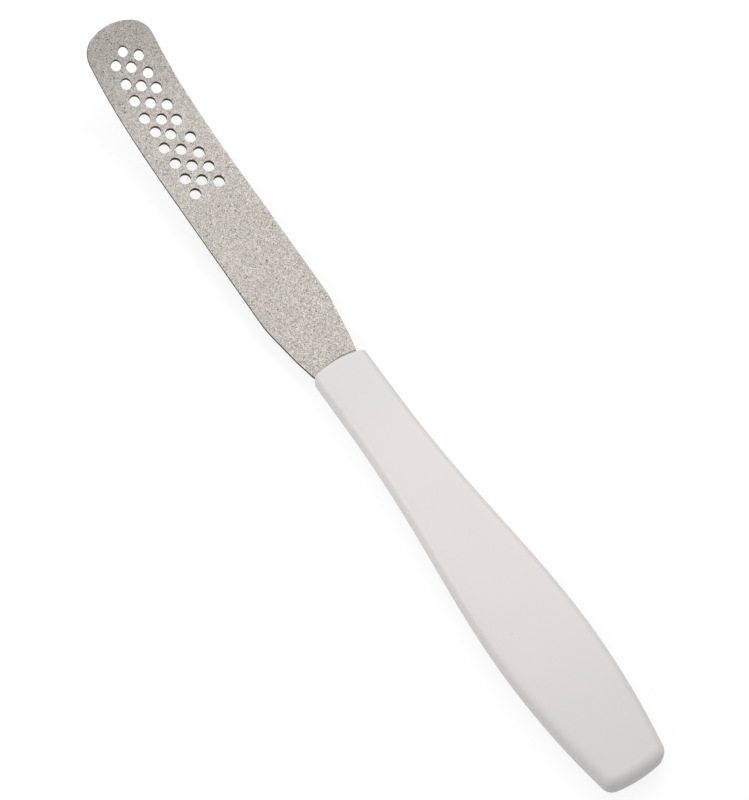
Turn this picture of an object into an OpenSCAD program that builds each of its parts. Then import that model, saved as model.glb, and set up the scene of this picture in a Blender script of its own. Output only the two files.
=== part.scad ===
// Foot file: a perforated steel blade, coated with abrasive on both faces and bent up
// towards its tip, in a handle moulded round its tang.
// +X points to the tip and +Z up. The handle's flat underside lies on Z = 0, and the
// middle of the whole length on X = 0.

/* [Blade] */
// Width of the steel strip
blade_w = 19; // [16:0.5:24]
// Thickness of the steel strip
blade_t = 0.8; // [0.5:0.1:1.2]
// Length outside the handle, measured along the curve
blade_reach = 112.7; // [106:1:125]
// Radius of the arc that the tip ends in
tip_bow_r = 13; // [12:0.5:30]
// Radius of the two corners of the tip
tip_corner_r = 6.5; // [3:0.5:7.5]
// Angle by which the tip is cut askew, with its corner at +Y in front
tip_skew = 1.5; // [0:0.25:3]

/* [Bend] */
// Length of the gentle rise just outside the handle
kick_len = 24; // [18:1:30]
// Radius of that rise
kick_r = 515; // [300:10:900]
// Distance from the handle at which the blade starts to turn up
ease_at = 66; // [50:1:72]
// Length of the stretch that leads into the bend
ease_len = 21; // [10:1:24]
// Radius of the stretch that leads into the bend
ease_r = 122; // [80:5:200]
// Radius of the bend that runs out to the tip
bend_r = 47.5; // [40:1:100]

/* [Holes] */
// Diameter of the holes in the blade
hole_d = 3; // [1.5:0.1:3.4]
// Distance between holes in a column
hole_pitch = 5.18; // [4.6:0.05:5.5]
// Distance between neighbouring columns
column_step = 3.5; // [3:0.1:4.5]
// Number of holes in a column
hole_rows = 9; // [4:1:10]
// Distance from the tip to the first hole of the middle column
hole_start = 7.85; // [6:0.1:14]

/* [Neck and tang] */
// Length over which the blade narrows towards the handle
neck_len = 17.8; // [15:0.5:24]
// Width where the blade enters the handle
neck_foot_w = 13.1; // [12:0.1:13.4]
// Width at the knee of the neck
neck_knee_w = 15.5; // [15:0.1:17]
// Distance of the knee from the handle
neck_knee_at = 5.7; // [5:0.5:9]
// Radius of the shoulder between neck and blade
shoulder_r = 30; // [10:1:50]
// Width of the tang inside the handle
tang_w = 10.6; // [9:0.1:12]
// Length of the tang inside the handle
tang_len = 48; // [40:1:80]
// Diameter of the anchor holes in the tang
anchor_d = 5; // [3:0.5:6]
// Distance from the handle's front to the first anchor hole
anchor_start = 16; // [12:1:20]
// Distance between the anchor holes
anchor_step = 19; // [10:1:20]

/* [Abrasive] */
// Thickness of the abrasive coat on each face
coat_t = 0.1; // [0.05:0.05:0.3]
// Length of the steel that stays bare between the handle and the coat
bare_len = 1.2; // [0.8:0.1:3]
// How far the end of the coat lies off centre
bare_skew = 2; // [0:0.25:3]

/* [Handle] */
// Length of the handle
handle_len = 130.4; // [120:1:150]
// Thickness of the handle
handle_t = 7.6; // [7:0.1:12]
// Width at the front, where the blade comes out
front_w = 15.2; // [14.8:0.1:17]
// Greatest width
belly_w = 24; // [20:0.5:30]
// Width at the butt
butt_w = 16; // [13:0.5:18]
// Distance of the greatest width from the front
belly_at = 91; // [75:1:100]
// Length of the parallel stretch behind the front
waist_len = 12; // [8:1:20]
// Radius of the rolled edge round both faces
edge_r = 2.4; // [1.5:0.1:2.7]
// Radius of the front corners, seen from above
front_corner_r = 1.3; // [1:0.1:4]
// Radius of the butt corners, seen from above
butt_corner_r = 3.2; // [1:0.1:5]
// Radius of the bowed front end
front_bow_r = 25; // [20:1:60]
// Radius of the bowed butt end
butt_bow_r = 35; // [30:1:90]
// Draft that narrows each half of the side wall away from the parting line
draft = 0.04; // [0.02:0.01:0.1]
// How far the tang lies below the middle of the handle
tang_drop = 0.5; // [0:0.1:1]
// How far the tang lies off the handle's middle line, towards +Y
tang_shift = 0.4; // [0:0.1:0.5]
// Gap that the plastic leaves round the tang when it shrinks
shrink_gap = 0.05; // [0.02:0.01:0.1]

/* [Hidden] */
// Overrun of a cutter past the face that it cuts
over = 1;
// Delay of the swell from waist to belly: 1 is a plain half cosine
swell_power = 1.22;
// Smooth stations along each side of the handle
side_steps = 40;
// Steps of a corner, of half a bowed end and of the rolled edge
corner_steps = 6;
bow_steps = 3;
roll_steps = 4;
shoulder_steps = 5;
halving_steps = 40;
// Turn of the blade, in degrees, that one flat step of its curve stands for
facet_angle = 1.5;
hole_fn = 32;
bow_fn = 96;
// Least bare length, and radius of the coat's end, as shares of those of the handle's front
bare_least_share = 0.25;
bare_bow_share = 0.8;
// Least radius of a corner of the handle's flat faces, inside the rolled edge
corner_min = edge_r / 4;
// Distance over which the slope of the handle's side is taken
probe = handle_len / 1000;
tang_z = handle_t / 2 - tang_drop;
tang_corner = tang_w / 5;
tang_foot = (neck_foot_w - tang_w) * 1.5;
// Drift of each punched hole from its regular place, along and across the blade, as a
// share of the pitch: the columns at +Y, in the middle and at -Y, from the tip
hole_drift_shares = [
    [[0, -0.02], [-0.06, -0.02], [-0.02, 0.02], [-0.08, 0.06], [0.02, -0.04],
     [0.02, 0.06], [0, 0.02], [-0.02, 0.06], [-0.02, 0.08]],
    [[-0.02, 0], [0.08, -0.02], [0.02, 0], [0.02, 0.04], [-0.02, 0.02],
     [0.04, 0.04], [0.04, 0.04], [-0.02, 0.04], [0, 0.06]],
    [[-0.04, 0.02], [-0.04, 0.02], [0.08, 0.04], [0.04, 0.02], [0.08, 0.04],
     [-0.1, -0.06], [-0.06, 0.02], [0, 0.02], [0, 0.04]]];

// The curve of the blade outside the handle as stretches: [length, radius], where a
// radius of 0 is straight. Each one starts where the last ends, in the same direction.
stretches = [
    [kick_len, kick_r],
    [ease_at - kick_len, 0],
    [ease_len, ease_r],
    [blade_reach + over - ease_at - ease_len, bend_r]];

// Place and slope [x, z, angle] after going a distance d along a stretch
function turned(r, d) = r == 0 ? 0 : d / r * 180 / PI;
function onward(p, r, d) =
    r == 0
    ? [p[0] + d * cos(p[2]), p[1] + d * sin(p[2]), p[2]]
    : [p[0] + r * (sin(p[2] + turned(r, d)) - sin(p[2])),
       p[1] - r * (cos(p[2] + turned(r, d)) - cos(p[2])),
       p[2] + turned(r, d)];
function start_of(i) =
    i == 0 ? [0, tang_z, 0] : onward(start_of(i - 1), stretches[i - 1][1], stretches[i - 1][0]);
// The same at a distance a from the handle's front, which is below zero inside the handle
function blade_at(a, i = 0, gone = 0) =
    a < 0
    ? [a, tang_z, 0]
    : i == len(stretches) - 1 || a < gone + stretches[i][0]
        ? onward(start_of(i), stretches[i][1], a - gone)
        : blade_at(a, i + 1, gone + stretches[i][0]);

// Puts its children on the blade's middle surface, at a distance along the blade
module on_blade(a) {
    p = blade_at(a);
    translate([p[0], 0, p[1]]) rotate([0, -p[2], 0]) children();
}

// Distances along the blade at which its side view has a point
function spine(from) =
    concat([[from, tang_z, 0], [0, tang_z, 0]],
        [for (i = [0:len(stretches) - 1])
            let (steps = max(1, ceil(turned(stretches[i][1], stretches[i][0]) / facet_angle)))
            for (k = [1:steps]) onward(start_of(i), stretches[i][1], stretches[i][0] * k / steps)]);
function raised(p, rise) = [p[0] - rise * sin(p[2]), p[1] + rise * cos(p[2])];

// A strip that follows the blade between two heights above its middle surface, a little too wide
module strip(low, high, from) {
    line = spine(from);
    count = len(line);
    translate([0, blade_w / 2 + over, 0]) rotate([90, 0, 0]) linear_extrude(blade_w + 2 * over)
        polygon(concat(
            [for (p = line) raised(p, low)],
            [for (i = [1:count]) raised(line[count - i], high)]));
}

// Points of the arc that rounds the corner at b between the lines to a and c
function unit(v) = v / norm(v);
function rounded(a, b, c, r, steps) =
    let (u = unit(a - b), v = unit(c - b))
    let (half = acos(u * v) / 2, m = b + unit(u + v) * r / sin(half))
    let (p = b + u * r / tan(half) - m, q = b + v * r / tan(half) - m)
    [for (i = [0:steps]) m + r * unit(p * (steps - i) + q * i)];

// One side of the blade's plan, from the inner end of the tang to the full width
function plan_side() =
    let (knee = [neck_knee_at, neck_knee_w / 2])
    let (shoulder = [neck_len, blade_w / 2])
    concat(
        [[-tang_len, tang_w / 2 - tang_corner],
         [-tang_len + tang_corner, tang_w / 2],
         [-tang_foot, tang_w / 2],
         [0, neck_foot_w / 2],
         knee],
        rounded(knee, shoulder, shoulder + [shoulder_r, 0], shoulder_r, shoulder_steps),
        [[blade_reach + over, blade_w / 2]]);

// The plan itself, or one that is larger by a gap round the tang
module plan_outline(gap = 0) {
    side = [for (p = plan_side()) [p[0] < -tang_foot ? p[0] - gap : p[0], p[1] + gap]];
    count = len(side);
    polygon(concat(side, [for (i = [1:count]) [side[count - i][0], -side[count - i][1]]]));
}

// The tip's outline in the blade's own surface, measured from where its corners begin
tip_arm = tip_bow_r - tip_corner_r;
tip_side = blade_w / 2 - tip_corner_r;
tip_back = sqrt(tip_arm * tip_arm - tip_side * tip_side);
tip_depth = tip_bow_r - tip_back;
tip_lean = atan2(tip_side, tip_back);
function tip_points() = concat(
    [for (i = [0:corner_steps]) let (t = 90 - (90 - tip_lean) * i / corner_steps)
        [tip_corner_r * cos(t), tip_side + tip_corner_r * sin(t)]],
    [for (i = [1:2 * bow_steps - 1]) let (t = tip_lean * (1 - i / bow_steps))
        [tip_bow_r * cos(t) - tip_back, tip_bow_r * sin(t)]],
    [for (i = [0:corner_steps]) let (t = -tip_lean - (90 - tip_lean) * i / corner_steps)
        [tip_corner_r * cos(t), -tip_side + tip_corner_r * sin(t)]]);
function beyond(p, q) = p + over * unit(p - q);

// How far the tip reaches past the handle's front, and the place of that front
tip_place = blade_at(blade_reach - tip_depth);
tip_low = bend_r - sqrt(pow(bend_r + blade_t / 2 + coat_t, 2) - pow(tip_depth, 2));
tip_x = tip_place[0] + tip_depth * cos(tip_place[2]) - tip_low * sin(tip_place[2]);
front_x = (handle_len - tip_x) / 2;

// Moves a piece, drawn from the handle's front, into the frame of the whole part
module placed(shift = 0) {
    translate([front_x, shift, 0]) children();
}

// What is cut away round the tip, square to the blade
module tip_waste() {
    high = blade_t + coat_t + over;
    edge = tip_points();
    last = len(edge) - 1;
    left = beyond(edge[0], edge[1]);
    right = beyond(edge[last], edge[last - 1]);
    far = tip_depth + 2 * over;
    on_blade(blade_reach - tip_depth)
        translate([0, 0, -high]) rotate([0, 0, -tip_skew]) linear_extrude(2 * high)
            polygon(concat([left], [for (i = [1:last - 1]) edge[i]], [right],
                [[right[0], -blade_w], [far, -blade_w], [far, blade_w], [left[0], blade_w]]));
}

// The holes are punched straight down through the blade after it is bent
module holes() {
    high = blade_t + coat_t + hole_d;
    for (column = [-1:1]) {
        for (row = [0:hole_rows - 1]) {
            drifts = hole_drift_shares[1 - column];
            drift = drifts[row % len(drifts)] * hole_pitch;
            shift = abs(column) * hole_pitch / 2;
            p = blade_at(blade_reach - hole_start - shift - row * hole_pitch + drift[0]);
            translate([p[0], column * column_step + drift[1], p[1] - high])
                cylinder(h = 2 * high, d = hole_d, $fn = hole_fn);
        }
    }
}

// A layer of the blade between two heights, from a distance inside the handle to the tip
module layer(low, high, inside) {
    difference() {
        intersection() {
            strip(low, high, -inside);
            linear_extrude(handle_t + blade_reach) plan_outline();
        }
        tip_waste();
        holes();
    }
}

module anchor_places() {
    for (i = [0:1]) translate([-anchor_start - i * anchor_step, 0, 0]) children();
}

module blade() {
    color([0.66, 0.65, 0.63]) placed(tang_shift)
        difference() {
            layer(-blade_t / 2, blade_t / 2, tang_len);
            anchor_places() cylinder(h = handle_t, d = anchor_d, $fn = hole_fn);
        }
}

// A round cutter that leaves a length of steel bare in front of the handle
module bare_cutter(length, r, aside) {
    translate([length - r, -aside, 0]) cylinder(h = handle_t, r = r, $fn = bow_fn);
}

// A coat ends just before the handle: along a rounder arc than the handle's front, and
// never nearer to it than the least bare length
module coat(low, high) {
    difference() {
        layer(low, high, over);
        bare_cutter(bare_len, front_bow_r * bare_bow_share, bare_skew);
        bare_cutter(bare_len * bare_least_share, front_bow_r, tang_shift);
    }
}

module coat_top() {
    color([0.70, 0.68, 0.65]) placed(tang_shift) coat(blade_t / 2, blade_t / 2 + coat_t);
}

module coat_bottom() {
    color([0.68, 0.66, 0.63]) placed(tang_shift) coat(-blade_t / 2 - coat_t, -blade_t / 2);
}

// Half width of the handle at a distance h behind its front, and its slope there
function swell(h) =
    h < waist_len
    ? 0
    : (1 - cos(180 * pow((h - waist_len) / (belly_at - waist_len), swell_power))) / 2;
function half_w(h) =
    h < belly_at
    ? (front_w + (belly_w - front_w) * swell(h)) / 2
    : (belly_w - (belly_w - butt_w) * pow((h - belly_at) / (handle_len - belly_at), 2)) / 2;
function slope(h) = (half_w(h + probe) - half_w(h - probe)) / (2 * probe);

// Point of the handle's side, moved inwards by a distance d
function inset_side(h, d) = [-h, half_w(h)] - d * unit([slope(h), 1]);
function side_heading(h) = atan2(1, slope(h));
function on_arc(m, r, angle) = m + r * [cos(angle), sin(angle)];
function heading(v) = atan2(v[1], v[0]);

// A corner circle touches the side and the bowed end. It is found by halving a stretch of
// the side: "end" is [centre, radius] of the bow.
function corner_at(near, far, d, r, end, left = halving_steps) =
    let (mid = (near + far) / 2)
    left == 0
    ? mid
    : norm(inset_side(mid, d + r) - end[0]) < end[1] - d - r
        ? corner_at(mid, far, d, r, end, left - 1)
        : corner_at(near, mid, d, r, end, left - 1);

// Half of the handle's outline at an inset d, from the middle of the front to that of the butt
function half_outline(d) =
    let (front = [[-front_bow_r, 0], front_bow_r])
    let (butt = [[butt_bow_r - handle_len, 0], butt_bow_r])
    let (front_r = max(front_corner_r - d, corner_min), butt_r = max(butt_corner_r - d, corner_min))
    let (front_h = corner_at(handle_len / 2, 0, d, front_r, front))
    let (butt_h = corner_at(handle_len / 2, handle_len, d, butt_r, butt))
    let (front_c = inset_side(front_h, d + front_r), butt_c = inset_side(butt_h, d + butt_r))
    let (front_a = heading(front_c - front[0]), butt_a = heading(butt_c - butt[0]))
    let (front_b = side_heading(front_h), butt_b = side_heading(butt_h))
    concat(
        [for (i = [0:bow_steps - 1]) on_arc(front[0], front[1] - d, front_a * i / bow_steps)],
        [for (i = [0:corner_steps])
            on_arc(front_c, front_r, front_a + (front_b - front_a) * i / corner_steps)],
        [for (i = [1:side_steps - 1]) inset_side(front_h + (butt_h - front_h) * i / side_steps, d)],
        [for (i = [0:corner_steps])
            on_arc(butt_c, butt_r, butt_b + (butt_a - butt_b) * i / corner_steps)],
        [for (i = [1:bow_steps]) on_arc(butt[0], butt[1] - d, butt_a + (180 - butt_a) * i / bow_steps)]);
function handle_outline(d) =
    let (half = half_outline(d), last = len(half) - 1)
    concat(half, [for (i = [1:last - 1]) [half[last - i][0], -half[last - i][1]]]);

// Levels of the handle as [height, inset]: a roll, the drafted wall, and a roll
rolled = [for (i = [0:roll_steps]) let (t = 90 - 90 * i / roll_steps)
    [edge_r * (1 - sin(t)), draft + edge_r * (1 - cos(t))]];
levels = concat(rolled, [[handle_t / 2, 0]],
    [for (i = [0:roll_steps]) [handle_t - rolled[roll_steps - i][0], rolled[roll_steps - i][1]]]);

module handle_skin() {
    n = len(handle_outline(0));
    top = len(levels) - 1;
    points = [for (level = levels, p = handle_outline(level[1])) [p[0], p[1], level[0]]];
    walls = [for (k = [0:top - 1], i = [0:n - 1], half = [0:1])
        let (j = (i + 1) % n)
        half == 0
        ? [k * n + i, (k + 1) * n + j, k * n + j]
        : [k * n + i, (k + 1) * n + i, (k + 1) * n + j]];
    base = [for (i = [0:n - 1]) i];
    lid = [for (i = [0:n - 1]) top * n + n - 1 - i];
    polyhedron(points, concat(walls, [base, lid]));
}

// The space that the tang fills
module tang_pocket() {
    tall = blade_t + 2 * shrink_gap;
    translate([0, 0, tang_z - tall / 2]) linear_extrude(tall) plan_outline(shrink_gap);
}

module handle() {
    color([0.90, 0.90, 0.89]) placed()
        difference() {
            handle_skin();
            translate([0, tang_shift, 0]) difference() {
                tang_pocket();
                anchor_places() cylinder(h = handle_t, d = anchor_d - 2 * shrink_gap, $fn = hole_fn);
            }
        }
}

blade();
coat_top();
coat_bottom();
handle();
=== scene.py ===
# %% [markdown]
# # A foot file
# The real thing is a strip of stainless steel with abrasive grains bonded to both faces. It is punched
# with holes, turned up at its tip, and held in a handle moulded round its tang. This lesson dresses its
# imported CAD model, which is the frame: a piece takes its place from the frame's boxes, in metres.

# %% The frame
import math

import bmesh
import bpy
import numpy as np
from mathutils import Euler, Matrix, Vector
from mathutils.kdtree import KDTree


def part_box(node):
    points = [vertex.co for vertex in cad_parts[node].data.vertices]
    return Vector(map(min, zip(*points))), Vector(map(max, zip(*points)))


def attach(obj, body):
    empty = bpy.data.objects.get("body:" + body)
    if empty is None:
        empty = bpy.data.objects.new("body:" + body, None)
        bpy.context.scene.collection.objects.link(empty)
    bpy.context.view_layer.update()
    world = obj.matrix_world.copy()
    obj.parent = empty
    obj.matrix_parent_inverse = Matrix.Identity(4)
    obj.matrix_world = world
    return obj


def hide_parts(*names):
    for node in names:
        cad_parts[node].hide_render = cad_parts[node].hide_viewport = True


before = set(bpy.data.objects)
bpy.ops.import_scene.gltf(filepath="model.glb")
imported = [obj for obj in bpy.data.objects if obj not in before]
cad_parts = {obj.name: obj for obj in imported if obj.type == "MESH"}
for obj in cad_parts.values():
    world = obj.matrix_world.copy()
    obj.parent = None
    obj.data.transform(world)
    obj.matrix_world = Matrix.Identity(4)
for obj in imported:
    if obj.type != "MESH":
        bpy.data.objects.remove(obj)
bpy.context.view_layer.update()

MM = 0.001
HANDLE_LOW, HANDLE_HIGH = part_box("handle")
FRONT_X = HANDLE_HIGH[0]
HANDLE_LEN = HANDLE_HIGH[0] - HANDLE_LOW[0]
HANDLE_T = HANDLE_HIGH[2] - HANDLE_LOW[2]
HANDLE_W = HANDLE_HIGH[1] - HANDLE_LOW[1]
print("handle", [round(size / MM, 2) for size in (HANDLE_LEN, HANDLE_W, HANDLE_T)], "mm")

# %% [markdown]
# ## The camera
# A camera that is matched to a photograph has to come first, because every later choice is judged
# through it. The file lies on its handle, and the lens looks down on it from behind and a little to one
# side. A long lens keeps the perspective weak, as in a product photograph. Places are measured from the
# handle's front end.

# %% Camera
CAMERA_FROM_FRONT = Vector((-269.60, 179.67, 592.54)) * MM
CAMERA_TURN = (28.038, -1.201, -123.188)
LENS_MM = 120.38
SENSOR_MM = 36.0
CLIP_START = 0.01

camera_data = bpy.data.cameras.new("camera")
camera_data.lens = LENS_MM
camera_data.sensor_width = SENSOR_MM
camera_data.clip_start = CLIP_START
camera = bpy.data.objects.new("camera", camera_data)
camera.location = CAMERA_FROM_FRONT + Vector((FRONT_X, 0, 0))
camera.rotation_euler = Euler([math.radians(turn) for turn in CAMERA_TURN])
bpy.context.scene.collection.objects.link(camera)
bpy.context.scene.camera = camera
print("camera at", [round(value, 3) for value in camera.location])

# %% [markdown]
# ## The white surface
# The background of a catalogue picture is pure white, yet a thing that lies on it still has a soft
# shadow. More light would also wash out the object, so the white comes from the floor's material
# instead. A ray from the camera sees a plain glow, plus a little matt shading that makes it full white
# where no shadow falls. Rays from reflections and clear glass see the same. All other rays see a grey,
# which sets how much light the floor throws back at the object.

# %% Node helpers
def new_tree(name):
    """A material and its node tree, with nothing in it yet."""
    material = bpy.data.materials.new(name)
    material.use_nodes = True
    material.node_tree.nodes.clear()
    return material, material.node_tree


def add(tree, kind, **settings):
    """A node of that kind.

    A setting whose name starts with a capital is a socket's value, and any other is a property.
    """
    node = tree.nodes.new(kind)
    for name, value in settings.items():
        if name[0].isupper():
            node.inputs[name.replace("_", " ")].default_value = value
        else:
            setattr(node, name, value)
    return node


def seen_directly(tree):
    """An output that is 1 for rays from the camera, a reflection or clear glass."""
    path = add(tree, "ShaderNodeLightPath")
    total = path.outputs["Is Camera Ray"]
    for name in ("Is Glossy Ray", "Is Transmission Ray"):
        larger = add(tree, "ShaderNodeMath", operation="MAXIMUM")
        tree.links.new(total, larger.inputs[0])
        tree.links.new(path.outputs[name], larger.inputs[1])
        total = larger.outputs[0]
    return total


# %% Floor
FLOOR_SIZE = 6.0
FLOOR_BOUNCE = (0.30, 0.30, 0.30, 1)
FLOOR_SEEN = (0.26, 0.26, 0.26, 1)
FLOOR_GLOW = 0.80


def floor_material():
    """Grey to the light that falls on it, and white to the camera except in shadow."""
    material, tree = new_tree("floor_white")
    seen = seen_directly(tree)
    colour = add(tree, "ShaderNodeMixRGB", Color1=FLOOR_BOUNCE, Color2=FLOOR_SEEN)
    strength = add(tree, "ShaderNodeMath", operation="MULTIPLY")
    strength.inputs[1].default_value = FLOOR_GLOW
    matt = add(tree, "ShaderNodeBsdfDiffuse")
    glow = add(tree, "ShaderNodeEmission", Color=(1, 1, 1, 1))
    both = add(tree, "ShaderNodeAddShader")
    output = add(tree, "ShaderNodeOutputMaterial")
    tree.links.new(seen, colour.inputs["Fac"])
    tree.links.new(colour.outputs["Color"], matt.inputs["Color"])
    tree.links.new(seen, strength.inputs[0])
    tree.links.new(strength.outputs[0], glow.inputs["Strength"])
    tree.links.new(matt.outputs[0], both.inputs[0])
    tree.links.new(glow.outputs[0], both.inputs[1])
    tree.links.new(both.outputs[0], output.inputs["Surface"])
    return material


def add_floor():
    """A square floor about the origin, at the height that the part rests on."""
    half = FLOOR_SIZE / 2
    mesh = bpy.data.meshes.new("floor")
    corners = [(-half, -half, 0), (half, -half, 0), (half, half, 0), (-half, half, 0)]
    mesh.from_pydata(corners, [], [(0, 1, 2, 3)])
    mesh.materials.append(floor_material())
    floor = bpy.data.objects.new("floor", mesh)
    bpy.context.scene.collection.objects.link(floor)


add_floor()
print("floor", FLOOR_SIZE, "m wide")

# %% [markdown]
# ## The light
# The photograph has no hard shadow, and its greys tell where the light comes from. The handle is
# brighter near the blade than at the butt, so two wide lamps hang beside the tip. The one on the right
# hangs high. The one on the left is low and weak, which leaves that side wall in shade. An even sky
# gives the rest, and all three add up to a little under full light on a level surface.

# %% Light
SKY_STRENGTH = 0.635
WHITE_STRENGTH = 1.0
LAMP_SIZE = 0.3
LAMPS = {
    "tip_right": (Vector((0.20, -0.30, 0.40)), 0.205),
    "tip_left": (Vector((0.25, 0.40, 0.15)), 0.103),
}


def light_sky():
    """An even sky, which rays from the camera and reflections see as plain white."""
    world = bpy.data.worlds.new("sky")
    world.use_nodes = True
    tree = world.node_tree
    tree.nodes.clear()
    even = add(tree, "ShaderNodeBackground", Color=(1, 1, 1, 1), Strength=SKY_STRENGTH)
    white = add(tree, "ShaderNodeBackground", Color=(1, 1, 1, 1), Strength=WHITE_STRENGTH)
    mix = add(tree, "ShaderNodeMixShader")
    output = add(tree, "ShaderNodeOutputWorld")
    tree.links.new(seen_directly(tree), mix.inputs["Fac"])
    tree.links.new(even.outputs[0], mix.inputs[1])
    tree.links.new(white.outputs[0], mix.inputs[2])
    tree.links.new(mix.outputs[0], output.inputs["Surface"])
    bpy.context.scene.world = world


def hang_lamp(name, place, share):
    """A square lamp that gives a level surface at the origin that share of full light.

    At a distance of d metres, a lamp of P watts gives a surface that faces it P / (pi * d) ** 2 of full
    light. A level surface gets only the lamp's height over d of that. A lamp as wide and near as these
    gives about a tenth less.
    """
    data = bpy.data.lights.new(name, "AREA")
    data.size = LAMP_SIZE
    distance = place.length
    data.energy = share * math.pi ** 2 * distance ** 3 / place.z
    lamp = bpy.data.objects.new(name, data)
    lamp.location = place
    lamp.rotation_euler = place.to_track_quat("Z", "Y").to_euler()
    bpy.context.scene.collection.objects.link(lamp)
    print(name, round(data.energy, 2), "W")


light_sky()
for lamp_name, (lamp_place, lamp_share) in LAMPS.items():
    hang_lamp(lamp_name, lamp_place, lamp_share)
bpy.context.scene.view_settings.view_transform = "Standard"

# %% [markdown]
# ## Three effects that several finishes share
# Nothing real has one flat colour. `soft_mottle` lightens and darkens a colour in soft patches, and the
# plastic, the steel and the grit all use it with their own patch size. `specks` scatters small spots of
# another colour: painted shade of pits between the grains, and dirt in the plastic. `skin_grain` is the
# fine unevenness of a moulded or rolled surface, and drives a Bump node. As node groups they are built
# once and tuned in each material.

# %% Shared node groups
NOISE_MEAN = 0.5


def new_group(name, inputs, outputs):
    """A shader node group with those sockets, and its input and output nodes."""
    group = bpy.data.node_groups.new(name, "ShaderNodeTree")
    for label, kind, value in inputs:
        socket = group.interface.new_socket(label, in_out="INPUT", socket_type=kind)
        socket.default_value = value
    for label, kind in outputs:
        group.interface.new_socket(label, in_out="OUTPUT", socket_type=kind)
    return group, group.nodes.new("NodeGroupInput"), group.nodes.new("NodeGroupOutput")


def soft_mottle_group():
    """Colour times a soft noise that swings about 1."""
    group, given, result = new_group(
        "soft_mottle",
        [
            ("Colour", "NodeSocketColor", (1, 1, 1, 1)),
            ("Patches per metre", "NodeSocketFloat", 100.0),
            ("Strength", "NodeSocketFloat", 0.05),
        ],
        [("Colour", "NodeSocketColor")],
    )
    place = add(group, "ShaderNodeTexCoord")
    patches = add(group, "ShaderNodeTexNoise", Detail=3.0, Roughness=0.55)
    swing = add(group, "ShaderNodeMath", operation="SUBTRACT")
    swing.inputs[1].default_value = NOISE_MEAN
    scaled = add(group, "ShaderNodeMath", operation="MULTIPLY_ADD")
    scaled.inputs[2].default_value = 1.0
    tint = add(group, "ShaderNodeVectorMath", operation="SCALE")
    group.links.new(place.outputs["Object"], patches.inputs["Vector"])
    group.links.new(given.outputs["Patches per metre"], patches.inputs["Scale"])
    group.links.new(patches.outputs["Fac"], swing.inputs[0])
    group.links.new(swing.outputs[0], scaled.inputs[0])
    group.links.new(given.outputs["Strength"], scaled.inputs[1])
    group.links.new(given.outputs["Colour"], tint.inputs[0])
    group.links.new(scaled.outputs[0], tint.inputs["Scale"])
    group.links.new(tint.outputs["Vector"], result.inputs["Colour"])
    return group


def specks_group():
    """Colour with round spots of another colour, in some of the cells of a Voronoi pattern."""
    group, given, result = new_group(
        "specks",
        [
            ("Colour", "NodeSocketColor", (1, 1, 1, 1)),
            ("Speck colour", "NodeSocketColor", (0, 0, 0, 1)),
            ("Cells per metre", "NodeSocketFloat", 500.0),
            ("Radius in cells", "NodeSocketFloat", 0.2),
            ("Share of cells", "NodeSocketFloat", 0.5),
        ],
        [("Colour", "NodeSocketColor")],
    )
    place = add(group, "ShaderNodeTexCoord")
    cells = add(group, "ShaderNodeTexVoronoi")
    draw = add(group, "ShaderNodeSeparateColor")
    inside = add(group, "ShaderNodeMath", operation="LESS_THAN")
    chosen = add(group, "ShaderNodeMath", operation="LESS_THAN")
    both = add(group, "ShaderNodeMath", operation="MULTIPLY")
    mix = add(group, "ShaderNodeMixRGB")
    group.links.new(place.outputs["Object"], cells.inputs["Vector"])
    group.links.new(given.outputs["Cells per metre"], cells.inputs["Scale"])
    group.links.new(cells.outputs["Color"], draw.inputs["Color"])
    group.links.new(cells.outputs["Distance"], inside.inputs[0])
    group.links.new(given.outputs["Radius in cells"], inside.inputs[1])
    group.links.new(draw.outputs["Red"], chosen.inputs[0])
    group.links.new(given.outputs["Share of cells"], chosen.inputs[1])
    group.links.new(inside.outputs[0], both.inputs[0])
    group.links.new(chosen.outputs[0], both.inputs[1])
    group.links.new(both.outputs[0], mix.inputs["Fac"])
    group.links.new(given.outputs["Colour"], mix.inputs["Color1"])
    group.links.new(given.outputs["Speck colour"], mix.inputs["Color2"])
    group.links.new(mix.outputs["Color"], result.inputs["Colour"])
    return group


def skin_grain_group():
    """A fine height for a Bump node."""
    group, given, result = new_group(
        "skin_grain",
        [("Grains per metre", "NodeSocketFloat", 1500.0), ("Depth", "NodeSocketFloat", 1.0)],
        [("Height", "NodeSocketFloat")],
    )
    place = add(group, "ShaderNodeTexCoord")
    grain = add(group, "ShaderNodeTexNoise", Detail=2.0, Roughness=0.5)
    height = add(group, "ShaderNodeMath", operation="MULTIPLY")
    group.links.new(place.outputs["Object"], grain.inputs["Vector"])
    group.links.new(given.outputs["Grains per metre"], grain.inputs["Scale"])
    group.links.new(grain.outputs["Fac"], height.inputs[0])
    group.links.new(given.outputs["Depth"], height.inputs[1])
    group.links.new(height.outputs[0], result.inputs["Height"])
    return group


SOFT_MOTTLE = soft_mottle_group()
SPECKS = specks_group()
SKIN_GRAIN = skin_grain_group()
print("groups", SOFT_MOTTLE.name, SPECKS.name, SKIN_GRAIN.name)


# %% Placing the groups
def placed(tree, group, *values):
    """The output of a node of that group. Each value is a constant, or another node's output."""
    node = add(tree, "ShaderNodeGroup", node_tree=group)
    for socket, value in zip(node.inputs, values):
        if isinstance(value, bpy.types.NodeSocket):
            tree.links.new(value, socket)
        else:
            socket.default_value = value
    return node.outputs[0]


def mottled(tree, colour, patches, strength):
    """That colour in soft patches."""
    return placed(tree, SOFT_MOTTLE, colour, patches, strength)


def specked(tree, colour, speck_colour, cells, radius, share):
    """That colour with its spots."""
    return placed(tree, SPECKS, colour, speck_colour, cells, radius, share)


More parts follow.
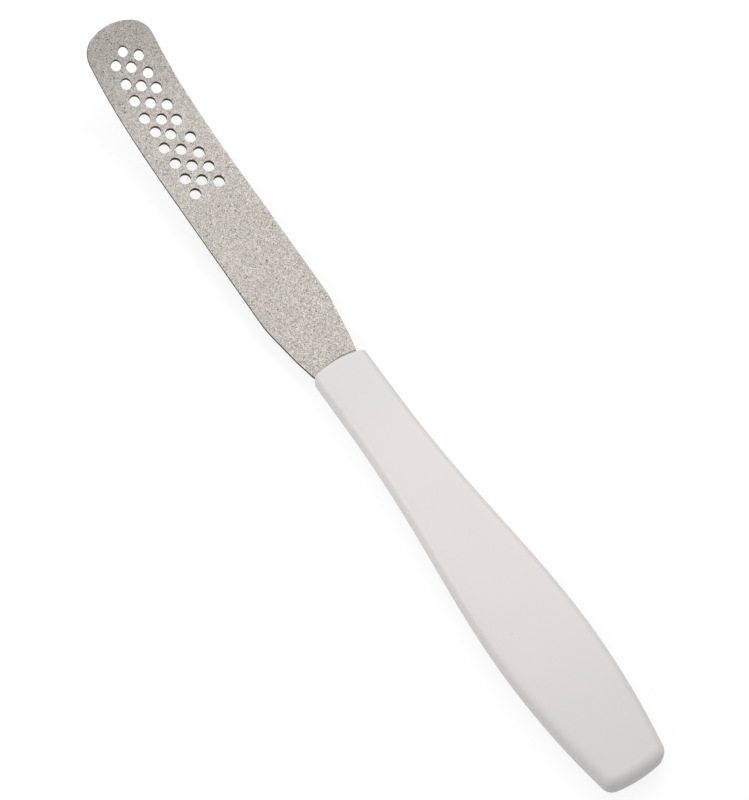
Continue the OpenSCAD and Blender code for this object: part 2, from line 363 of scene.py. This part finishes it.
def grained(tree, surface, grains, depth, distance):
    """Bumps a surface with the fine grain."""
    height = placed(tree, SKIN_GRAIN, grains, depth)
    bump = add(tree, "ShaderNodeBump", Distance=distance)
    tree.links.new(height, bump.inputs["Height"])
    tree.links.new(bump.outputs["Normal"], surface.inputs["Normal"])


# %% [markdown]
# ## The handle's plastic
# A white moulded handle isn't quite white and isn't quite even. The colour goes through the mottle with
# wide, weak patches, gets a few specks, and has the roughness of a satin mould. The faint grain breaks
# up the highlight on the rolled edge. The grip also gets painted light: a broad painted highlight that
# is palest and warmest a quarter of the way along, and painted shade that greys it towards its two
# ends, which a ramp along the handle's own length says in four stops.

# %% Handle plastic
PLASTIC_COLOUR = (0.84, 0.803, 0.786, 1)
PLASTIC_ROUGHNESS = 0.42
PLASTIC_IOR = 1.46
PLASTIC_PATCHES = 45.0
PLASTIC_UNEVENNESS = 0.05
PLASTIC_SPECK = (0.60, 0.57, 0.54, 1)
PLASTIC_SPECKS = {"cells": 260.0, "radius": 0.04, "share": 0.5}
PLASTIC_GRAIN = {"grains": 1300.0, "depth": 0.25, "distance": 0.05 * MM}
# The stops are painted light: a broad painted highlight a quarter of the way along, painted shade at
# the ends.
GRIP_PAINTED_LIGHT = {
    0.0: (0.915, 0.95, 0.96, 1),
    0.26: (1, 1, 1, 1),
    0.6: (0.98, 0.985, 0.99, 1),
    1.0: (0.905, 0.93, 0.94, 1),
}


def painted_light_along(tree, colour, light_stops):
    """An output with that colour times painted light and shade that change from the front to the butt.
    """
    place = add(tree, "ShaderNodeTexCoord")
    axes = add(tree, "ShaderNodeSeparateXYZ")
    share = add(tree, "ShaderNodeMapRange", From_Min=FRONT_X, From_Max=FRONT_X - HANDLE_LEN)
    ramp = add(tree, "ShaderNodeValToRGB")
    mix = add(tree, "ShaderNodeMixRGB", blend_type="MULTIPLY", Fac=1.0, Color2=colour)
    ramp.color_ramp.interpolation = "EASE"
    stops = ramp.color_ramp.elements
    while len(stops) < len(light_stops):
        stops.new(1.0)
    for stop, (position, tone) in zip(stops, light_stops.items()):
        stop.position = position
        stop.color = tone
    tree.links.new(place.outputs["Object"], axes.inputs[0])
    tree.links.new(axes.outputs["X"], share.inputs["Value"])
    tree.links.new(share.outputs["Result"], ramp.inputs["Fac"])
    tree.links.new(ramp.outputs["Color"], mix.inputs["Color1"])
    return mix.outputs["Color"]


def plastic_material():
    """White satin plastic, with painted light and shade along the grip, a few specks and a faint grain.
    """
    material, tree = new_tree("handle_plastic")
    surface = add(tree, "ShaderNodeBsdfPrincipled", Roughness=PLASTIC_ROUGHNESS, IOR=PLASTIC_IOR)
    output = add(tree, "ShaderNodeOutputMaterial")
    # Painted light and shade along the grip.
    painted_lit = painted_light_along(tree, PLASTIC_COLOUR, GRIP_PAINTED_LIGHT)
    patchy = mottled(tree, painted_lit, PLASTIC_PATCHES, PLASTIC_UNEVENNESS)
    spotted = specked(tree, patchy, PLASTIC_SPECK, **PLASTIC_SPECKS)
    tree.links.new(spotted, surface.inputs["Base Color"])
    grained(tree, surface, **PLASTIC_GRAIN)
    tree.links.new(surface.outputs[0], output.inputs["Surface"])
    return material


plastic = plastic_material()
print("material", plastic.name)

# %% [markdown]
# ## The handle
# The CAD handle is a loft of flat facets, good for measuring and collision, but its rolled edge would
# show them. A subdivision surface would shrink it away from its sizes, so the same loft is built again
# with finer steps. Seen from above the outline has two swelling sides, two bowed ends and four round
# corners. The edge of each face rolls over, and a thin ridge runs round the side where the two halves
# of the mould met.

# %% Handle sizes
FRONT_W = 15.2 * MM
BUTT_W = 16.0 * MM
BELLY_W = 24.0 * MM
BELLY_AT = 91.0 * MM
WAIST_LEN = 12.0 * MM
SWELL_POWER = 1.22
EDGE_R = 2.4 * MM
FRONT_CORNER_R = 1.3 * MM
BUTT_CORNER_R = 3.2 * MM
CORNER_MIN = EDGE_R / 4
FRONT_BOW_R = 25.0 * MM
BUTT_BOW_R = 35.0 * MM
DRAFT = 0.04 * MM
SLOPE_STEPS = 1000


def half_width(back):
    """Half the handle's width at a distance behind its front."""
    if back < WAIST_LEN:
        return FRONT_W / 2
    if back < BELLY_AT:
        share = ((back - WAIST_LEN) / (BELLY_AT - WAIST_LEN)) ** SWELL_POWER
        return (FRONT_W + (BELLY_W - FRONT_W) * (1 - math.cos(math.pi * share)) / 2) / 2
    share = (back - BELLY_AT) / (HANDLE_LEN - BELLY_AT)
    return (BELLY_W - (BELLY_W - BUTT_W) * share ** 2) / 2


def side_point(back, inset):
    """A point of the side, moved inwards, and the heading of its outward normal."""
    step = HANDLE_LEN / SLOPE_STEPS
    slope = (half_width(back + step) - half_width(back - step)) / (2 * step)
    outward = np.array([slope, 1.0]) / math.hypot(slope, 1.0)
    return np.array([-back, half_width(back)]) - inset * outward, math.atan2(outward[1], outward[0])


print("belly", round(2 * half_width(BELLY_AT) / MM, 2), "mm wide")

# %% Handle outline
SIDE_STEPS = 150
CORNER_STEPS = 12
BOW_STEPS = 9
HALVINGS = 40


def corner(end_centre, end_r, inset, radius, back_at_end):
    """A corner's arc between the bowed end and the side.

    Gives how far back it touches the side, its centre, and its headings at the end and at the side.
    """
    near, far = HANDLE_LEN / 2, back_at_end
    for _ in range(HALVINGS):
        middle = (near + far) / 2
        centre, _ = side_point(middle, inset + radius)
        inside = np.linalg.norm(centre - end_centre) < end_r - inset - radius
        near, far = (middle, far) if inside else (near, middle)
    centre, side_heading = side_point(near, inset + radius)
    away = centre - end_centre
    return near, centre, math.atan2(away[1], away[0]), side_heading


def arc(centre, radius, start, end, steps):
    """Points of an arc between two headings."""
    angles = np.linspace(start, end, steps + 1)
    return [centre + radius * np.array([math.cos(angle), math.sin(angle)]) for angle in angles]


def half_outline(inset):
    """The +Y half of the outline at an inset, from the middle of the front to that of the butt."""
    front_centre = np.array([-FRONT_BOW_R, 0.0])
    butt_centre = np.array([BUTT_BOW_R - HANDLE_LEN, 0.0])
    front_r = max(FRONT_CORNER_R - inset, CORNER_MIN)
    butt_r = max(BUTT_CORNER_R - inset, CORNER_MIN)
    start, front_corner, front_bow, front_side = corner(front_centre, FRONT_BOW_R, inset, front_r, 0.0)
    stop, butt_corner, butt_bow, butt_side = corner(butt_centre, BUTT_BOW_R, inset, butt_r, HANDLE_LEN)
    side = [side_point(back, inset)[0] for back in np.linspace(start, stop, SIDE_STEPS + 1)]
    return np.array(
        arc(front_centre, FRONT_BOW_R - inset, 0.0, front_bow, BOW_STEPS)[:-1]
        + arc(front_corner, front_r, front_bow, front_side, CORNER_STEPS)
        + side[1:-1]
        + arc(butt_corner, butt_r, butt_side, butt_bow, CORNER_STEPS)
        + arc(butt_centre, BUTT_BOW_R - inset, butt_bow, math.pi, BOW_STEPS)[1:]
    )


print("points in half an outline", len(half_outline(0.0)))

# %% [markdown]
# Each level of the loft is a height and an inset. The roll is a quarter circle, and the ridge is a few
# close levels at the middle. Both halves of the mould can sit a hair apart, which is why the ridge
# catches the light.

# %% Handle levels
ROLL_STEPS = 14
RIDGE_OUT = 0.05 * MM
RIDGE_HALF = 0.09 * MM


def lower_levels():
    """(height, inset) from the underside up to the parting line."""
    levels = []
    for step in range(ROLL_STEPS + 1):
        angle = math.pi / 2 * (1 - step / ROLL_STEPS)
        levels.append((EDGE_R * (1 - math.sin(angle)), DRAFT + EDGE_R * (1 - math.cos(angle))))
    levels.append((HANDLE_T / 2 - 2 * RIDGE_HALF, RIDGE_OUT + DRAFT / 2))
    levels.append((HANDLE_T / 2 - RIDGE_HALF, RIDGE_OUT))
    levels.append((HANDLE_T / 2 - RIDGE_HALF / 2, 0.0))
    return levels


def handle_levels():
    """(height, inset) from the underside to the top face, the same above the parting line as below."""
    lower = lower_levels()
    return lower + [(HANDLE_T - height, inset) for height, inset in reversed(lower)]


print("levels", len(handle_levels()))

# %% Handle mesh
CAP_STEPS = 8


def add_cap(mesh, left, right):
    """Closes a flat face with quads that run from one side to the other."""
    rows = []
    for start, end in zip(left, right):
        between = [start.co.lerp(end.co, step / CAP_STEPS) for step in range(1, CAP_STEPS)]
        same = start is end
        rows.append([start] if same else [start] + [mesh.verts.new(point) for point in between] + [end])
    for a, b in zip(rows, rows[1:]):
        for i in range(CAP_STEPS):
            corners = [a[min(i, len(a) - 1)], a[min(i + 1, len(a) - 1)]]
            corners += [b[min(i + 1, len(b) - 1)], b[min(i, len(b) - 1)]]
            mesh.faces.new(list(dict.fromkeys(corners)))


def build_handle_mesh():
    """The loft of all levels, closed by its two flat faces."""
    mesh = bmesh.new()
    rings = []
    for height, inset in handle_levels():
        half = half_outline(inset)
        ring = [mesh.verts.new((x + FRONT_X, y, height)) for x, y in half]
        ring += [mesh.verts.new((x + FRONT_X, -y, height)) for x, y in half[-2:0:-1]]
        rings.append(ring)
    count = len(rings[0])
    for low, high in zip(rings, rings[1:]):
        for i in range(count):
            j = (i + 1) % count
            mesh.faces.new((low[i], low[j], high[j], high[i]))
    last = count // 2
    for ring in (rings[0], rings[-1]):
        left = ring[: last + 1]
        right = [ring[0]] + ring[: last - 1 : -1]
        add_cap(mesh, left, right)
    bmesh.ops.recalc_face_normals(mesh, faces=mesh.faces)
    for face in mesh.faces:
        face.smooth = True
    return mesh


def add_piece(name, mesh, material):
    """Makes an object of a bmesh, gives it its finish, and lets it ride on the part's one body."""
    data = bpy.data.meshes.new(name)
    mesh.to_mesh(data)
    mesh.free()
    data.materials.append(material)
    piece = bpy.data.objects.new(name, data)
    bpy.context.scene.collection.objects.link(piece)
    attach(piece, "root")
    return piece


handle = add_piece("handle_moulding", build_handle_mesh(), plastic)
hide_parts("handle")
print("handle faces", len(handle.data.polygons))

# %% [markdown]
# ## The bare steel
# The strip itself shows only at its sheared edges, inside the holes and in a narrow band before the
# handle. Shearing left the edges and the walls of the holes rough, and the coats' side faces too, since
# it went through them as well. Their near-black colour is partly dull sheared steel and mostly painted
# shade, for the shade inside the holes and along the edges. The band keeps the lighter face of rolled
# strip.

# %% Steel
# Near-black: dull sheared steel, darkened further as painted shade for the holes' walls and the edges.
SHEARED_AND_SHADE_COLOUR = (0.042, 0.036, 0.030, 1)
ROLLED_COLOUR = (0.32, 0.30, 0.27, 1)
STEEL_METALLIC = 0.6
STEEL_ROUGHNESS = 0.55
STEEL_PATCHES = 700.0
STEEL_UNEVENNESS = 0.5
STEEL_GRAIN = {"grains": 2500.0, "depth": 0.5, "distance": 0.03 * MM}


def steel_material(name, colour):
    """Satin steel of that colour, uneven in small patches, with a fine grain."""
    material, tree = new_tree(name)
    surface = add(tree, "ShaderNodeBsdfPrincipled", Metallic=STEEL_METALLIC, Roughness=STEEL_ROUGHNESS)
    output = add(tree, "ShaderNodeOutputMaterial")
    patchy = mottled(tree, colour, STEEL_PATCHES, STEEL_UNEVENNESS)
    tree.links.new(patchy, surface.inputs["Base Color"])
    grained(tree, surface, **STEEL_GRAIN)
    tree.links.new(surface.outputs[0], output.inputs["Surface"])
    return material


sheared_steel_and_shade = steel_material("sheared_steel_and_shade", SHEARED_AND_SHADE_COLOUR)
rolled_steel = steel_material("rolled_steel", ROLLED_COLOUR)
print("materials", sheared_steel_and_shade.name, rolled_steel.name)

# %% [markdown]
# ## The abrasive
# Grit could be a bump map, but its silhouette would stay smooth and its grains would never catch the
# lamp. So a layer like the CAD coat is only the bed, and thousands of small crystals are set into it.
# Each is a ring of four points, partly sunk, under a short crooked ridge, so its flat facets face every
# way, as crushed mineral does. In the photograph the tip is darker than its slope alone would make it,
# so painted shade also darkens the colour a little with height.

# %% Grit finish
GRIT_COOL = (0.569, 0.553, 0.529, 1)
GRIT_WARM = (0.598, 0.543, 0.481, 1)
# Painted shade: dark specks for the shade in the pits between the grains.
PIT_SHADE_COLOUR = (0.25, 0.21, 0.16, 1)
CELLS_PER_METRE = 4300.0
TONE_LOW = 0.65
TONE_HIGH = 1.35
ROUGHNESS_LOW = 0.25
ROUGHNESS_HIGH = 0.8
GRIT_METALLIC = 0.2
GRIT_PATCHES = 260.0
GRIT_UNEVENNESS = 0.2
PIT_SHADE_SPECKS = {"cells": 900.0, "radius": 0.2, "share": 0.3}
LEVEL_TOP = 7.0 * MM
TIP_TOP = 17.5 * MM
# Painted shade: the grit darkens to this share of its colour as the tip rises.
TIP_PAINTED_SHADE = 0.91


def grit_material():
    """Mineral grit, toned, glossed and warmed cell by cell, with painted shade in its pits and towards
    the tip.
    """
    material, tree = new_tree("abrasive_grit")
    surface = add(tree, "ShaderNodeBsdfPrincipled", Metallic=GRIT_METALLIC)
    output = add(tree, "ShaderNodeOutputMaterial")
    place = add(tree, "ShaderNodeTexCoord")
    cells = add(tree, "ShaderNodeTexVoronoi", Scale=CELLS_PER_METRE)
    draw = add(tree, "ShaderNodeSeparateColor")
    tone = add(tree, "ShaderNodeMapRange", To_Min=TONE_LOW, To_Max=TONE_HIGH)
    gloss = add(tree, "ShaderNodeMapRange", To_Min=ROUGHNESS_LOW, To_Max=ROUGHNESS_HIGH)
    hue = add(tree, "ShaderNodeMixRGB", Color1=GRIT_COOL, Color2=GRIT_WARM)
    axes = add(tree, "ShaderNodeSeparateXYZ")
    # Painted shade that darkens the grit with height towards the tip.
    rise = add(
        tree, "ShaderNodeMapRange",
        From_Min=LEVEL_TOP, From_Max=TIP_TOP, To_Min=1.0, To_Max=TIP_PAINTED_SHADE,
    )
    both = add(tree, "ShaderNodeMath", operation="MULTIPLY")
    shade = add(tree, "ShaderNodeVectorMath", operation="SCALE")
    tree.links.new(place.outputs["Object"], cells.inputs["Vector"])
    tree.links.new(cells.outputs["Color"], draw.inputs["Color"])
    tree.links.new(draw.outputs["Red"], tone.inputs["Value"])
    tree.links.new(draw.outputs["Green"], gloss.inputs["Value"])
    tree.links.new(draw.outputs["Blue"], hue.inputs["Fac"])
    tree.links.new(place.outputs["Object"], axes.inputs[0])
    tree.links.new(axes.outputs["Z"], rise.inputs["Value"])
    tree.links.new(tone.outputs["Result"], both.inputs[0])
    tree.links.new(rise.outputs["Result"], both.inputs[1])
    patchy = mottled(tree, hue.outputs["Color"], GRIT_PATCHES, GRIT_UNEVENNESS)
    pit_shaded = specked(tree, patchy, PIT_SHADE_COLOUR, **PIT_SHADE_SPECKS)
    tree.links.new(pit_shaded, shade.inputs[0])
    tree.links.new(both.outputs[0], shade.inputs["Scale"])
    tree.links.new(shade.outputs["Vector"], surface.inputs["Base Color"])
    tree.links.new(gloss.outputs["Result"], surface.inputs["Roughness"])
    tree.links.new(surface.outputs[0], output.inputs["Surface"])
    return material


grit = grit_material()
print("material", grit.name)

# %% [markdown]
# ## The three layers and their holes
# The CAD holes run straight down through the bent strip. A real strip is punched flat and bent
# afterwards, so its holes stand square to its surface, which shows where the blade turns up. So each
# layer is a copy of its CAD node, in which only the walls of the holes move. The height of a point on
# the wall says how deep in the new hole it goes, and its direction from the hole's middle says where on
# the rim. The photograph shows the holes a little larger and rounder than the camera makes a 3 mm
# circle, most of all near the handle, so the rim is a slight oval whose size follows the slope, and the
# punch leans a little.

# %% Walls of the holes
WELD = 0.001 * MM
HOLES_BEHIND_TIP = 4.5 * MM
HOLES_BEFORE_FRONT = 20.0 * MM
HOLES_ASIDE = 8.0 * MM
SIDE_FACING = 0.5


def welded(node):
    """A bmesh copy of a CAD node, with its facets joined."""
    mesh = bmesh.new()
    mesh.from_mesh(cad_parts[node].data)
    bmesh.ops.remove_doubles(mesh, verts=mesh.verts, dist=WELD)
    return mesh


def hole_walls(mesh):
    """The vertices of each hole's wall, as one set for each hole."""
    first = FRONT_X + HOLES_BEFORE_FRONT
    last = max(vertex.co.x for vertex in mesh.verts) - HOLES_BEHIND_TIP
    walls = set()
    for face in mesh.faces:
        middle = face.calc_center_median()
        among_holes = first < middle.x < last and abs(middle.y) < HOLES_ASIDE
        if among_holes and abs(face.normal.z) < SIDE_FACING:
            walls.add(face)
    groups = []
    while walls:
        queue, group = [walls.pop()], set()
        while queue:
            face = queue.pop()
            group.update(face.verts)
            near = {other for edge in face.edges for other in edge.link_faces} & walls
            walls -= near
            queue.extend(near)
        groups.append(group)
    return groups


def measured(group):
    """A hole's middle, its height on the strip's middle surface, and the strip's slope there."""
    points = np.array(sorted(tuple(vertex.co) for vertex in group))
    x, y, _ = (points.min(0) + points.max(0)) / 2
    slope, height = np.polyfit(points[:, 0] - x, points[:, 2], 1)
    return Vector((x, y, height)), float(slope)


strip = welded("blade")
HOLES = [measured(group) for group in hole_walls(strip)]
strip.free()
SLOPES = [round(slope, 3) for _, slope in HOLES]
print("holes", len(HOLES), "slopes", min(SLOPES), "to", max(SLOPES))

# %% Punching them anew
TOP_ABOVE_MIDDLE = 0.5 * MM
HOLE_HALF_LONG = 1.69 * MM
SIZE_BY_SLOPE = -0.15
HOLE_ASPECT = 0.9
LONG_TURN = math.radians(158)
LEAN_ALONG = -0.02
LEAN_ALONG_BY_SLOPE = -0.58
LEAN_ASIDE = 0.16
LEAN_ASIDE_BY_SLOPE = -0.36


def punch(group):
    """Moves the wall of one hole to where a square cut through the sloping strip would leave it."""
    middle = sum((vertex.co for vertex in group), Vector()) / len(group)
    centre, slope = min(HOLES, key=lambda hole: (hole[0] - middle).xy.length)
    tilt = math.atan(slope)
    along = Vector((math.cos(tilt), 0, math.sin(tilt)))
    normal = Vector((-math.sin(tilt), 0, math.cos(tilt)))
    half_long = HOLE_HALF_LONG * (1 + SIZE_BY_SLOPE * slope)
    half_short = half_long * HOLE_ASPECT
    lean_along = LEAN_ALONG + LEAN_ALONG_BY_SLOPE * slope
    lean_aside = LEAN_ASIDE + LEAN_ASIDE_BY_SLOPE * slope
    # The straight hole meets the upper face TOP_ABOVE_MIDDLE * slope further on. Half of that is kept.
    onward = TOP_ABOVE_MIDDLE / 2 * slope
    for vertex in group:
        offset = vertex.co - centre
        deep = TOP_ABOVE_MIDDLE - offset.dot(normal)
        angle = math.atan2(offset.y, offset.x) - LONG_TURN
        a, b = half_long * math.cos(angle), half_short * math.sin(angle)
        forward = a * math.cos(LONG_TURN) - b * math.sin(LONG_TURN) + onward + lean_along * deep
        aside = a * math.sin(LONG_TURN) + b * math.cos(LONG_TURN) + lean_aside * deep
        vertex.co += along * (forward - offset.dot(along)) + Vector((0, aside - offset.y, 0))


def add_layer(name, node, material, side_material):
    """A copy of a CAD node with its holes punched anew. Its upright faces get the side material."""
    mesh = welded(node)
    for group in hole_walls(mesh):
        punch(group)
    mesh.normal_update()
    for face in mesh.faces:
        face.smooth = False
        face.material_index = int(abs(face.normal.z) < SIDE_FACING)
    piece = add_piece(name, mesh, material)
    piece.data.materials.append(side_material)
    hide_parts(node)
    print(name, "faces", len(piece.data.polygons))
    return piece


add_layer("blade_strip", "blade", rolled_steel, sheared_steel_and_shade)
bed_top = add_layer("bed_top", "coat_top", grit, sheared_steel_and_shade)
bed_bottom = add_layer("bed_bottom", "coat_bottom", grit, sheared_steel_and_shade)

# %% [markdown]
# The crystals need places that keep off the holes and follow the bend. The bed's own faces know both,
# so random points are scattered over them, each face getting its fair share by area. A point that falls
# too close to one that is there already is left out, and so is one at the bed's rim, so that no grain
# hangs over a hole. Fixed seeds give the same grains on every run.

# %% Faces and rim of a bed
FACING = 0.7
LEAST_AREA = 1e-12
RIM_STEP = 0.08 * MM
RIM_KEPT_CLEAR = 0.13 * MM


def outer_triangles(bed, sign):
    """Corners, normals and areas of a bed's triangles that face up, or down for sign -1."""
    data = bed.data
    data.calc_loop_triangles()
    points = np.array([vertex.co[:] for vertex in data.vertices])
    corners = np.array([points[list(face.vertices)] for face in data.loop_triangles])
    normals = np.cross(corners[:, 1] - corners[:, 0], corners[:, 2] - corners[:, 0])
    areas = np.linalg.norm(normals, axis=1) / 2
    normals /= np.maximum(2 * areas, LEAST_AREA)[:, None]
    kept = normals[:, 2] * sign > FACING
    return corners[kept], normals[kept], areas[kept]


def rim_tree(corners):
    """Close points along every edge that only one of the triangles has."""
    rounded = np.round(corners / WELD).astype(int)
    edges = {}
    for triangle, spots in zip(corners, rounded):
        for i, j in ((0, 1), (1, 2), (2, 0)):
            key = frozenset((tuple(spots[i]), tuple(spots[j])))
            edges[key] = None if key in edges else (triangle[i], triangle[j])
    rim = []
    for start, end in filter(None, edges.values()):
        steps = int(math.dist(start, end) / RIM_STEP) + 1
        rim.extend(start + (end - start) * step / steps for step in range(steps))
    tree = KDTree(len(rim))
    for index, point in enumerate(rim):
        tree.insert(point, index)
    tree.balance()
    return tree


UPPER_AREA = outer_triangles(bed_top, 1)[2].sum()
print("upper bed", round(UPPER_AREA / MM ** 2), "square mm")

# %% Places for the grains
GRAIN_PITCH = 0.255 * MM
DROPS_PER_GRAIN = 4
LEAST_GAP_SHARE = 0.8


def drop_places(bed, sign, draw):
    """Places and normals of the grains on a bed."""
    corners, normals, areas = outer_triangles(bed, sign)
    rim = rim_tree(corners)
    wanted = int(areas.sum() / GRAIN_PITCH ** 2 * DROPS_PER_GRAIN)
    faces = draw.choice(len(areas), wanted, p=areas / areas.sum())
    share = draw.random((wanted, 2))
    folded = share.sum(1) > 1
    share[folded] = 1 - share[folded]
    a, b, c = (corners[faces, i] for i in range(3))
    points = a + share[:, :1] * (b - a) + share[:, 1:] * (c - a)
    taken, kept = {}, []
    for index, (x, y, z) in enumerate(points):
        cell = int(x // GRAIN_PITCH), int(y // GRAIN_PITCH)
        near = (taken.get((cell[0] + i, cell[1] + j)) for i in (-1, 0, 1) for j in (-1, 0, 1))
        apart = all(p is None or math.dist(p, (x, y)) > GRAIN_PITCH * LEAST_GAP_SHARE for p in near)
        if apart and rim.find((x, y, z))[2] > RIM_KEPT_CLEAR:
            taken[cell] = (x, y)
            kept.append(index)
    return points[kept], normals[faces[kept]]


# %% One crystal for every place
GRAIN_WIDTH = 0.36 * MM
GRAIN_HEIGHT = 0.10 * MM
GRAIN_SIZES = (0.6, 1.25)
RING = 4
RING_JITTER = (-0.3, 0.3)
RING_REACH = (0.75, 1.2)
SUNK_SHARE = 0.5
# Directions are counted in points of the ring, so the crest's ends lie over two opposite sides.
CREST_ENDS = (0.5, 2.5)
CREST_JITTER = (-0.4, 0.4)
CREST_REACH = (0.1, 0.6)
CREST_RISE = (0.15, 1.3)
# A crystal's points 0 to 3 are its ring, and 4 and 5 are the ends of its crest.
CRYSTAL_FACES = ((0, 1, 4), (1, 2, 5, 4), (2, 3, 5), (3, 0, 4, 5))
SEED_TOP = 11
SEED_BOTTOM = 12


def grow_grains(places, normals, draw):
    """Vertices and faces of all the crystals: a sunk ring of four points under a short ridge."""
    count = len(places)
    across = np.cross(normals, [0.0, 1.0, 0.0])
    across /= np.linalg.norm(across, axis=1)[:, None]
    along = np.cross(normals, across)
    size = GRAIN_WIDTH / 2 * draw.uniform(*GRAIN_SIZES, count)
    turn = draw.uniform(0, 2 * math.pi, count)
    points = []

    def put(angle, reach, rise):
        flat = (np.cos(angle) * reach)[:, None] * across + (np.sin(angle) * reach)[:, None] * along
        points.append(places + flat + rise[:, None] * normals)

    for k in range(RING):
        angle = turn + 2 * math.pi * (k + draw.uniform(*RING_JITTER, count)) / RING
        reach = size * draw.uniform(*RING_REACH, count)
        put(angle, reach, np.full(count, -SUNK_SHARE * GRAIN_HEIGHT))
    for k in CREST_ENDS:
        angle = turn + 2 * math.pi * (k + draw.uniform(*CREST_JITTER, count)) / RING
        reach = size * draw.uniform(*CREST_REACH, count)
        put(angle, reach, GRAIN_HEIGHT * draw.uniform(*CREST_RISE, count))
    vertices = np.stack(points, 1).reshape(-1, 3)
    first = (np.arange(count) * (RING + len(CREST_ENDS))).tolist()
    faces = [tuple(start + i for i in face) for start in first for face in CRYSTAL_FACES]
    return vertices, faces


def add_grains(name, bed, sign, seed):
    """The crystals of one bed, as one piece."""
    draw = np.random.default_rng(seed)
    places, normals = drop_places(bed, sign, draw)
    vertices, faces = grow_grains(places, normals, draw)
    data = bpy.data.meshes.new(name)
    data.from_pydata(vertices.tolist(), [], faces)
    data.materials.append(grit)
    piece = bpy.data.objects.new(name, data)
    bpy.context.scene.collection.objects.link(piece)
    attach(piece, "root")
    print(name, len(places), "grains")


add_grains("grains_top", bed_top, 1, SEED_TOP)
add_grains("grains_bottom", bed_bottom, -1, SEED_BOTTOM)
